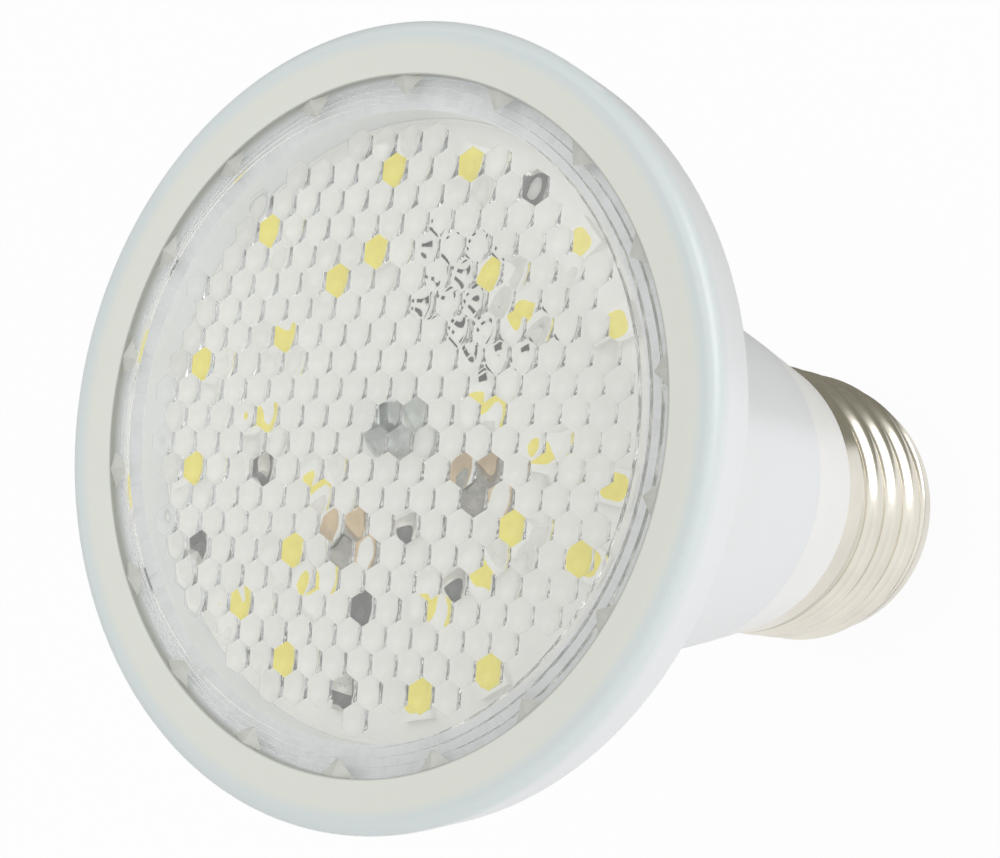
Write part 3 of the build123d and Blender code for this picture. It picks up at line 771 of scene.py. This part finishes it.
class GROWBULB_OT_board(bpy.types.Operator):
    """Dress the LED board, its LEDs, chips, joints and screw."""

    bl_idname = "growbulb.board"
    bl_label = "LED board"

    def execute(self, context):
        settings = context.scene.growbulb_board
        metals = context.scene.growbulb_driver
        give(NODES["led_board"], grained("solder_mask", settings.mask))
        give(NODES["led_packages"], grained("led_body", settings.package))
        give(NODES["led_phosphors"], grained("led_phosphor", settings.phosphor))
        chips = smooth_copy("chip_resistors", "capped_chips")
        mark_ends(chips.data, settings.chip_body)
        settle(chips, capped_chip(metals))
        solder = grained("solder", metals.solder)
        settle(smooth_copy("solder_joints", "solder_domes"), solder)
        steel = grained("dark_steel", metals.steel)
        settle(smooth_copy("board_screw", "clamp_screw"), steel)
        self.add_print(settings)
        self.add_seal(settings)
        self.add_stains(settings)
        return {"FINISHED"}

    def add_stains(self, settings):
        """Adds the stain of flux around each solder joint."""
        for index, centre in enumerate(joint_centres()):
            stain = flux_stain(f"flux_stain_{index + 1}", centre, settings.flux_radius)
            settle(stain, grained("dried_flux", settings.flux))

    def add_print(self, settings):
        """Adds the arcs of dark printed dashes."""
        ink = grained("board_ink", settings.ink)
        sweep = settings.print_end - settings.print_start
        values = {
            "Columns": round(settings.print_radius * sweep / settings.dash_pitch),
            "Rows": settings.print_rows,
            "Bands": settings.print_bands,
            "Radius": settings.print_radius,
            "Row gap": settings.row_gap,
            "Band gap": settings.print_gap,
            "Start": settings.print_start,
            "Sweep": sweep,
            "Length": settings.dash_length,
            "Width": settings.dash_width,
            "Thickness": INK_THICKNESS,
            "Level": BOARD_TOP + INK_THICKNESS / 2,
        }
        settle(grow("printed_dashes", dash_tree(ink), values), ink)

    def add_seal(self, settings):
        """Adds the white bead that closes the gap around the board."""
        middle = settings.seal_radius
        half = settings.seal_width / 2
        high = BOARD_TOP + settings.seal_width / 3
        low = BOARD_TOP - settings.seal_width
        outline = [(middle - half, BOARD_TOP), (middle, high), (middle + half, BOARD_TOP), (middle, low)]
        seal = lathe("board_seal", outline, ROUND_STEPS, ring=True)
        smooth(seal.data, SEAL_CREASE)
        settle(seal, grained("white_sealant", settings.mask))


# Lens


def from_middle(tree):
    """Distance of a point from the middle of its geometry."""
    position = put(tree, "GeometryNodeInputPosition").outputs[0]
    return put(tree, "ShaderNodeVectorMath", {0: position}, operation="LENGTH").outputs["Value"]


def lattice(tree, given):
    """Points of the rows of cells that fit into the field, and the corner radius of a cell."""
    corner = calc(tree, "DIVIDE", given["Pitch"], sqrt(3))
    index = put(tree, "GeometryNodeInputIndex").outputs[0]
    side = calc(tree, "MULTIPLY_ADD", given["Reach"], 2.0, 1.0)
    row_number = calc(tree, "FLOOR", calc(tree, "DIVIDE", index, side))
    column_number = calc(tree, "FLOORED_MODULO", index, side)
    row = calc(tree, "SUBTRACT", row_number, given["Reach"])
    column = calc(tree, "SUBTRACT", column_number, given["Reach"])
    shift = calc(tree, "DIVIDE", calc(tree, "FLOORED_MODULO", row, 2.0), 2.0)
    across = calc(tree, "MULTIPLY", calc(tree, "ADD", column, shift), given["Pitch"])
    row_gap = calc(tree, "MULTIPLY", given["Pitch"], sqrt(3) / 2)
    along = calc(tree, "MULTIPLY_ADD", row, row_gap, corner)
    spots = vector(tree, X=across, Y=along)
    count = calc(tree, "MULTIPLY", side, side)
    points = put(tree, "GeometryNodePoints", {"Count": count, "Position": spots})
    limit = calc(tree, "SUBTRACT", given["Field radius"], corner)
    outside = calc(tree, "GREATER_THAN", from_middle(tree), limit)
    kept = put(tree, "GeometryNodeDeleteGeometry", {"Geometry": points.outputs[0], "Selection": outside})
    return kept.outputs[0], corner


def ringed_cell(tree, corner):
    """Flat six-sided cell of rings round a middle. Each point has its share of the way to a corner."""
    circle = put(tree, "GeometryNodeMeshCircle", {"Vertices": 6, "Radius": corner}, fill_type="NGON")
    inputs = {"Geometry": circle.outputs[0], "Rotation": (0, 0, pi / 6)}
    cell = put(tree, "GeometryNodeTransform", inputs)
    middle = {}
    for ratio in CELL_RING_RATIOS:
        inputs = {"Mesh": cell.outputs[0], "Offset Scale": 0.0, "Individual": False, **middle}
        ring = put(tree, "GeometryNodeExtrudeMesh", inputs, mode="FACES")
        middle = {"Selection": ring.outputs["Top"]}
        inputs = {"Geometry": ring.outputs["Mesh"], "Scale": ratio, **middle}
        cell = put(tree, "GeometryNodeScaleElements", inputs, domain="FACE")
    way = calc(tree, "DIVIDE", from_middle(tree), corner)
    inputs = {"Geometry": cell.outputs[0], "Name": "way", "Value": way}
    kind = {"data_type": "FLOAT", "domain": "POINT"}
    return put(tree, "GeometryNodeStoreNamedAttribute", inputs, **kind).outputs[0]


def welded(tree, geometry):
    """Geometry with its touching points joined."""
    inputs = {"Geometry": geometry, "Distance": WELD_DISTANCE}
    return put(tree, "GeometryNodeMergeByDistance", inputs).outputs[0]


def honeycomb_tree(material):
    """Closed block of domed six-sided cells, with the domes pointing down."""
    sizes = ("Pitch", "Field radius", "Level", "Depth", "Rise", "Row turn")
    tree, given, output = new_tree("honeycomb", ("Reach",), sizes)
    points, corner = lattice(tree, given)
    inputs = {"Points": points, "Instance": ringed_cell(tree, corner)}
    placed = put(tree, "GeometryNodeInstanceOnPoints", inputs).outputs[0]
    sheet = welded(tree, put(tree, "GeometryNodeRealizeInstances", {"Geometry": placed}).outputs[0])
    inputs = {"Mesh": sheet, "Offset": (0, 0, 1), "Offset Scale": given["Depth"], "Individual": False}
    raised = put(tree, "GeometryNodeExtrudeMesh", inputs, mode="FACES")
    way = put(tree, "GeometryNodeInputNamedAttribute", {"Name": "way"}, data_type="FLOAT").outputs[0]
    fall = calc(tree, "MULTIPLY", way, way)
    lift = calc(tree, "MULTIPLY", given["Rise"], calc(tree, "SUBTRACT", 1.0, fall))
    top = raised.outputs["Top"]
    inputs = {"Geometry": raised.outputs["Mesh"], "Selection": top, "Offset": vector(tree, Z=lift)}
    domed = put(tree, "GeometryNodeSetPosition", inputs)
    floor = put(tree, "GeometryNodeFlipFaces", {"Mesh": sheet})
    both = put(tree, "GeometryNodeJoinGeometry")
    tree.links.new(domed.outputs[0], both.inputs[0])
    tree.links.new(floor.outputs[0], both.inputs[0])
    inputs = {
        "Geometry": welded(tree, both.outputs[0]),
        "Translation": vector(tree, Z=given["Level"]),
        "Rotation": vector(tree, X=pi, Z=given["Row turn"]),
    }
    block = put(tree, "GeometryNodeTransform", inputs)
    finish_tree(tree, block.outputs[0], output, material)
    return tree


def ridged_tooth(tree, given):
    """Tooth on the X axis: a three-sided pyramid whose apex is moved back over its root.

    The pyramid starts with a base of radius 1, so it is 1.5 long and the root of 3 wide.
    """
    pyramid = put(tree, "GeometryNodeMeshCone", {"Vertices": 3, "Radius Bottom": 1.0, "Depth": 1.0})
    position = put(tree, "GeometryNodeInputPosition").outputs[0]
    height = put(tree, "ShaderNodeSeparateXYZ", {"Vector": position}).outputs["Z"]
    apex = calc(tree, "GREATER_THAN", height, 0.5)
    inputs = {"Geometry": pyramid.outputs["Mesh"], "Selection": apex, "Offset": (-0.5, 0, 0)}
    ridge = put(tree, "GeometryNodeSetPosition", inputs)
    long = calc(tree, "DIVIDE", given["Length"], 1.5)
    wide = calc(tree, "DIVIDE", given["Width"], sqrt(3))
    middle = calc(tree, "SUBTRACT", given["Radius"], calc(tree, "DIVIDE", long, 2.0))
    inputs = {
        "Geometry": ridge.outputs[0],
        "Translation": vector(tree, X=middle, Z=given["Level"]),
        "Rotation": (0, 0, pi),
        "Scale": vector(tree, X=long, Y=wide, Z=given["Height"]),
    }
    return put(tree, "GeometryNodeTransform", inputs).outputs[0]


def tooth_tree(material):
    """Ring of three-sided teeth, each with a ridge that falls from its root to its tip."""
    sizes = ("Radius", "Level", "Length", "Width", "Height")
    tree, given, output = new_tree("rim_teeth", ("Count",), sizes)
    tooth = ridged_tooth(tree, given)
    points = put(tree, "GeometryNodePoints", {"Count": given["Count"]})
    index = put(tree, "GeometryNodeInputIndex").outputs[0]
    turn = calc(tree, "MULTIPLY", calc(tree, "DIVIDE", index, given["Count"]), 2 * pi)
    inputs = {"Points": points.outputs[0], "Instance": tooth, "Rotation": vector(tree, Z=turn)}
    placed = put(tree, "GeometryNodeInstanceOnPoints", inputs)
    finish_tree(tree, placed.outputs[0], output, material)
    return tree


def plate_outline(settings):
    """Half outline of the plate with its stepped border, from the axis below to the axis above."""
    low = LENS_HIGH.z - settings.middle
    step_width = settings.border / settings.steps
    step_rise = (settings.middle - settings.edge) / settings.steps
    outline = [(0, low), (settings.plate_radius, low)]
    for step in range(settings.steps):
        level = low + settings.edge + step_rise * step
        outline.append((settings.plate_radius - step_width * step, level))
        outline.append((settings.plate_radius - step_width * (step + 1), level))
    outline.append((settings.plate_radius - settings.border, LENS_HIGH.z))
    outline.append((0, LENS_HIGH.z))
    return outline


def frosted_plastic(settings):
    """Half clear, half milky plastic of the teeth around the lens."""
    material = grained("frosted_plastic", settings.tooth_colour)
    tree = material.node_tree
    feed(tree, tree.nodes["Principled BSDF"], {"Transmission Weight": settings.tooth_clarity})
    return material


def clear_plastic(settings):
    """Clear moulded plastic with a trace of unevenness and a frosted border."""
    material, tree, shader = new_material("clear_plastic")
    waves = noise(tree, place(tree), 350)
    radius = radius_and_height(tree)[0]
    start = settings.plate_radius - settings.border
    frost = spread(tree, between(tree, radius, start, start + BORDER_FADE), 0.0, settings.border_frost)
    inputs = {
        "Base Color": patchy(tree, waves, shaded(settings.tint, 0.985), settings.tint),
        "Roughness": calc(tree, "ADD", spread(tree, waves, *CLEAR_GLOSS), frost),
        "IOR": settings.refraction,
        "Transmission Weight": settings.clarity,
    }
    feed(tree, shader, inputs)
    return material


class GROWBULB_OT_lens(bpy.types.Operator):
    """Make the clear lens: a plate with a stepped border and a honeycomb of domed cells under it."""

    bl_idname = "growbulb.lens"
    bl_label = "Lens"

    def execute(self, context):
        settings = context.scene.growbulb_lens
        material = clear_plastic(settings)
        plate = lathe("honeycomb_lens", plate_outline(settings), LENS_STEPS)
        cells = self.cells(settings, material)
        apply_boolean(plate, cells, "UNION")
        smooth(plate.data, LENS_CREASE)
        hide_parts("lens")
        plate.visible_shadow = False
        plate.visible_diffuse = False
        settle(plate, material)
        teeth_plastic = frosted_plastic(settings)
        settle(self.teeth(settings, teeth_plastic), teeth_plastic)
        return {"FINISHED"}

    def teeth(self, settings, material):
        """Ridged teeth that reach from the wall around the lens to the second step of its border."""
        step_rise = (settings.middle - settings.edge) / settings.steps
        low = LENS_HIGH.z - settings.middle + settings.edge + step_rise
        values = {
            "Count": settings.tooth_count,
            "Radius": settings.tooth_radius,
            "Level": low,
            "Length": settings.tooth_length,
            "Width": settings.tooth_width,
            "Height": settings.tooth_height,
        }
        return grow("rim_teeth", tooth_tree(material), values)

    def cells(self, settings, material):
        """Block of honeycomb cells that goes into the underside of the plate."""
        row_gap = settings.pitch * sqrt(3) / 2
        values = {
            "Reach": ceil(settings.field_radius / row_gap),
            "Pitch": settings.pitch,
            "Field radius": settings.field_radius,
            "Level": LENS_HIGH.z - settings.middle + settings.root,
            "Depth": settings.root + settings.valley,
            "Rise": settings.rise,
            "Row turn": settings.row_turn,
        }
        return grow("cells", honeycomb_tree(material), values)


# Driver


class GROWBULB_OT_driver(bpy.types.Operator):
    """Dress the driver parts inside the sleeve."""

    bl_idname = "growbulb.driver"
    bl_label = "Driver"

    def execute(self, context):
        settings = context.scene.growbulb_driver
        give(NODES["driver_board"], grained("driver_laminate", settings.laminate))
        give(NODES["smoothing_capacitor"], grained("drawn_can", settings.can))
        give(NODES["choke"], grained("ferrite", settings.ferrite))
        give(NODES["input_capacitor"], grained("dipped_film", settings.film))
        give(NODES["rectifier"], grained("rectifier_epoxy", settings.epoxy))
        give(NODES["fusible_resistor"], grained("resistor_coat", settings.coat))
        tinned = grained("tinned_wire", settings.tin)
        for node in ("contact_leads", "shell_lead", "board_leads"):
            give(NODES[node], tinned)
        return {"FINISHED"}


# Stage


def shows_background(tree):
    """Whether a ray comes from the camera, and whether it comes by gloss or through the lens, as 1 or 0."""
    path = put(tree, "ShaderNodeLightPath").outputs
    mirrored = calc(tree, "MAXIMUM", path["Is Glossy Ray"], path["Is Transmission Ray"])
    return path["Is Camera Ray"], mirrored


def floor_material(settings):
    """Pale floor, white to the camera, in gloss and through the lens, with a trace of its shading."""
    material, tree, shader = new_material("pale_floor")
    dust = noise(tree, place(tree), 3.0)
    tones = patchy(tree, dust, shaded(settings.floor_colour, 0.99), settings.floor_colour)
    feed(tree, shader, {"Base Color": tones, "Roughness": 0.8})
    white = put(tree, "ShaderNodeEmission", {"Color": (1, 1, 1, 1), "Strength": 1.0})
    direct, mirrored = shows_background(tree)
    plain = calc(tree, "MULTIPLY", direct, 1 - settings.shadow)
    part = calc(tree, "MAXIMUM", plain, calc(tree, "MULTIPLY", mirrored, 1 - settings.mirrored_shadow))
    inputs = {0: part, 1: shader.outputs["BSDF"], 2: white.outputs["Emission"]}
    mixed = put(tree, "ShaderNodeMixShader", inputs)
    feed(tree, tree.nodes["Material Output"], {"Surface": mixed.outputs["Shader"]})
    return material


def set_world(settings):
    """Soft light from all around, brighter from one side, over a backdrop that is plain white."""
    world = bpy.data.worlds.new("surround")
    world.use_nodes = True
    tree = world.node_tree
    heading = put(tree, "ShaderNodeTexCoord").outputs["Generated"]
    inputs = {0: heading, 1: settings.bright_from}
    along = put(tree, "ShaderNodeVectorMath", inputs, operation="DOT_PRODUCT").outputs["Value"]
    shade = spread(tree, between(tree, along, -1.0, 1.0), settings.surround_dim, settings.surround_bright)
    height = put(tree, "ShaderNodeSeparateXYZ", {"Vector": heading}).outputs["Z"]
    backdrop = between(tree, height, settings.backdrop_top, 0.0)
    direct, mirrored = shows_background(tree)
    white = calc(tree, "MAXIMUM", direct, calc(tree, "MULTIPLY", mirrored, backdrop))
    inputs = {"Color": (1, 1, 1, 1), "Strength": spread(tree, white, shade, 1.0)}
    feed(tree, tree.nodes["Background"], inputs)
    bpy.context.scene.world = world


def add_lamp(name, side, target, settings, power):
    """Square lamp that shines at the bulb from one side."""
    data = bpy.data.lights.new(name, "AREA")
    data.shape = "SQUARE"
    data.size = settings.lamp_size
    data.energy = power
    lamp = bpy.data.objects.new(name, data)
    lamp.location = target + side.normalized() * settings.lamp_distance
    lamp.rotation_euler = side.to_track_quat("Z", "Y").to_euler()
    bpy.context.scene.collection.objects.link(lamp)
    return lamp


class GROWBULB_OT_stage(bpy.types.Operator):
    """Set the floor, the light and the camera."""

    bl_idname = "growbulb.stage"
    bl_label = "Stage"

    def execute(self, context):
        settings = context.scene.growbulb_stage
        self.add_floor(settings)
        set_world(settings)
        centre = (Vector(CAD_BOX[0]) + Vector(CAD_BOX[1])) / 2
        add_lamp("key_lamp", Vector(settings.key_from), centre, settings, settings.key_power)
        fill = add_lamp("fill_lamp", Vector(settings.fill_from), centre, settings, settings.fill_power)
        fill.visible_glossy = False
        gloss = add_lamp("gloss_lamp", Vector(settings.gloss_from), centre, settings, settings.gloss_power)
        gloss.visible_diffuse = False
        gloss.visible_transmission = False
        self.add_flag(settings)
        self.add_camera(context.scene, settings)
        context.scene.view_settings.view_transform = "Standard"
        return {"FINISHED"}

    def add_floor(self, settings):
        """Adds the plain floor under the contact."""
        half = settings.floor_size / 2
        level = CAD_BOX[0][2]
        mesh = bpy.data.meshes.new("floor")
        corners = [(-half, -half, level), (half, -half, level), (half, half, level), (-half, half, level)]
        mesh.from_pydata(corners, [], [(0, 1, 2, 3)])
        floor = new_piece("floor", mesh)
        give(floor, floor_material(settings))

    def add_flag(self, settings):
        """Adds a dark folded card on the floor that only shows in the polished base."""
        side = settings.flag_size
        near = settings.flag_gap
        level = CAD_BOX[0][2] + FLAG_LIFT
        mesh = bpy.data.meshes.new("flag")
        far = near + side
        rows = ((near, level), (far, level), (far, level + side))
        corners = [(across, along, height) for along, height in rows for across in (-side, side)]
        mesh.from_pydata(corners, [], [(0, 1, 3, 2), (2, 3, 5, 4)])
        flag = new_piece("flag", mesh)
        give(flag, grained("flag_cloth", settings.flag_colour))
        flag.visible_camera = False
        flag.visible_diffuse = False
        flag.visible_transmission = False
        flag.visible_shadow = False

    def add_camera(self, scene, settings):
        """Adds the camera at the photograph's viewing angle."""
        data = bpy.data.cameras.new("camera")
        data.lens = settings.focal_length
        camera = bpy.data.objects.new("camera", data)
        camera.location = settings.camera_place
        camera.rotation_euler = settings.camera_turn
        scene.collection.objects.link(camera)
        scene.camera = camera


# Panel and registration


OPERATORS = (
    GROWBULB_OT_housing,
    GROWBULB_OT_base,
    GROWBULB_OT_board,
    GROWBULB_OT_lens,
    GROWBULB_OT_driver,
    GROWBULB_OT_stage,
)
SETTINGS = {
    "growbulb_housing": HousingSettings,
    "growbulb_base": BaseSettings,
    "growbulb_board": BoardSettings,
    "growbulb_lens": LensSettings,
    "growbulb_driver": DriverSettings,
    "growbulb_stage": StageSettings,
}


class GROWBULB_PT_panel(bpy.types.Panel):
    """Lists the steps that dress the bulb."""

    bl_idname = "GROWBULB_PT_panel"
    bl_label = "Grow light bulb"
    bl_space_type = "VIEW_3D"
    bl_region_type = "UI"
    bl_category = "Grow bulb"

    def draw(self, context):
        for operator in OPERATORS:
            self.layout.operator(operator.bl_idname)


def register():
    """Registers the settings, the operators and the panel."""
    for name, group in SETTINGS.items():
        bpy.utils.register_class(group)
        setattr(bpy.types.Scene, name, PointerProperty(type=group))
    for operator in OPERATORS:
        bpy.utils.register_class(operator)
    bpy.utils.register_class(GROWBULB_PT_panel)


def unregister():
    """Takes everything out again."""
    bpy.utils.unregister_class(GROWBULB_PT_panel)
    for operator in reversed(OPERATORS):
        bpy.utils.unregister_class(operator)
    for name, group in SETTINGS.items():
        delattr(bpy.types.Scene, name)
        bpy.utils.unregister_class(group)


def main():
    """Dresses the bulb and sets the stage."""
    register()
    bpy.ops.growbulb.housing()
    bpy.ops.growbulb.base()
    bpy.ops.growbulb.board()
    bpy.ops.growbulb.lens()
    bpy.ops.growbulb.driver()
    bpy.ops.growbulb.stage()


if __name__ == "__main__":
    main()
